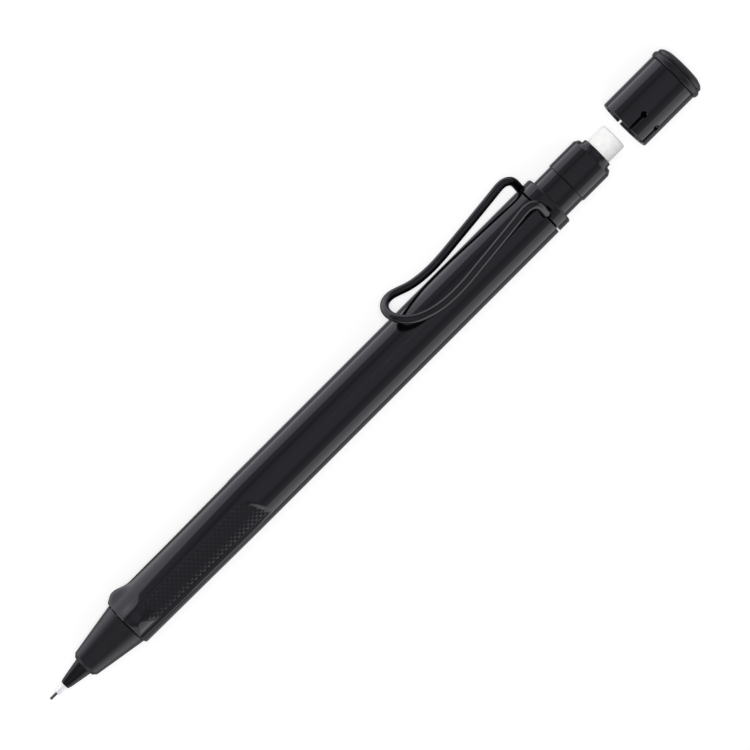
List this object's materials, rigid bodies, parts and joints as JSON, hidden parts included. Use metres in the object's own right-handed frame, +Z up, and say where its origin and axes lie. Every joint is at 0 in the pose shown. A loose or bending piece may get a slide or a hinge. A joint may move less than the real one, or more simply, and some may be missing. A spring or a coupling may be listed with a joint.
{
  "type": "mechanical pencil",
  "caption": "Slim black mechanical pencil with knurled finger facets, sprung wire clip, push button with white eraser, and a pull-off slotted cap.",
  "frame": {"origin": "under the middle of the pencil's bounding box, on the surface that it lies on", "axes": "+X along the pencil from the writing tip towards the cap, +Z up from the surface that it lies on; the clip is on the +Y side and stands 1.8 degrees above level, as the pencil comes to rest"},
  "size_m": [0.155, 0.0144, 0.0107],
  "materials": {
    "barrel_black": "polished moulded plastic, fine diamond knurl on the finger facets",
    "gloss_black": "smooth moulded plastic, glossy",
    "matte_black": "fine matt moulded plastic",
    "black_wire": "black lacquered spring wire, glossy",
    "chrome": "polished",
    "graphite": "polymer graphite, faint sheen",
    "white_vinyl": "soft white vinyl, matt",
    "brass": "turned",
    "steel": "bright drawn",
    "grey_plastic": "moulded, satin",
    "dark_rubber": "matt"
  },
  "bodies": {
    "barrel_unit": {"barrel": "barrel_black", "collar": "gloss_black", "nose_cone": "matte_black", "tip_cone": "gloss_black", "lead_sleeve": "chrome", "lead_retainer": "dark_rubber", "mechanism_sleeve": "brass", "spring_seat": "steel", "chuck_spring": "steel", "rear_bush": "grey_plastic"},
    "push_unit": {"push_button": "gloss_black", "eraser": "white_vinyl", "eraser_holder": "grey_plastic", "cleaning_needle": "steel", "lead_tube": "grey_plastic", "chuck_coupling": "grey_plastic", "chuck": "brass", "spare_lead_1": "graphite", "spare_lead_2": "graphite", "spare_lead_3": "graphite"},
    "cap_unit": {"cap_shell": "gloss_black", "cap_end": "gloss_black"},
    "clip_unit": {"clip": "black_wire"},
    "lead_unit": {"lead": "graphite"},
    "ring_unit": {"chuck_ring": "steel"}
  },
  "joints": [
    {"name": "push_slide", "type": "slide", "parent": "barrel_unit", "child": "push_unit", "axis": [-1, 0, 0], "range_m": [0, 0.003], "stiffness_N_per_m": 600, "deforming": ["chuck_spring"]},
    {"name": "cap_slide", "type": "slide", "parent": "push_unit", "child": "cap_unit", "axis": [1, 0, 0], "range_m": [-0.01425, 0.01]},
    {"name": "clip_flex", "type": "hinge", "parent": "barrel_unit", "child": "clip_unit", "pos_m": [0.04253, 0.0006, 0.00541], "axis": [0, 0.0314, -0.9995], "range_deg": [0, 6], "stiffness_Nm_per_rad": 0.6},
    {"name": "lead_feed", "type": "slide", "parent": "barrel_unit", "child": "lead_unit", "axis": [-1, 0, 0], "range_m": [-0.0015, 0.01]},
    {"name": "chuck_ring_slide", "type": "slide", "parent": "barrel_unit", "child": "ring_unit", "axis": [-1, 0, 0], "range_m": [0, 0.001]}
  ],
  "couplings": [
    {"joint": "chuck_ring_slide", "follows": "push_slide", "ratio": 0.3333}
  ]
}
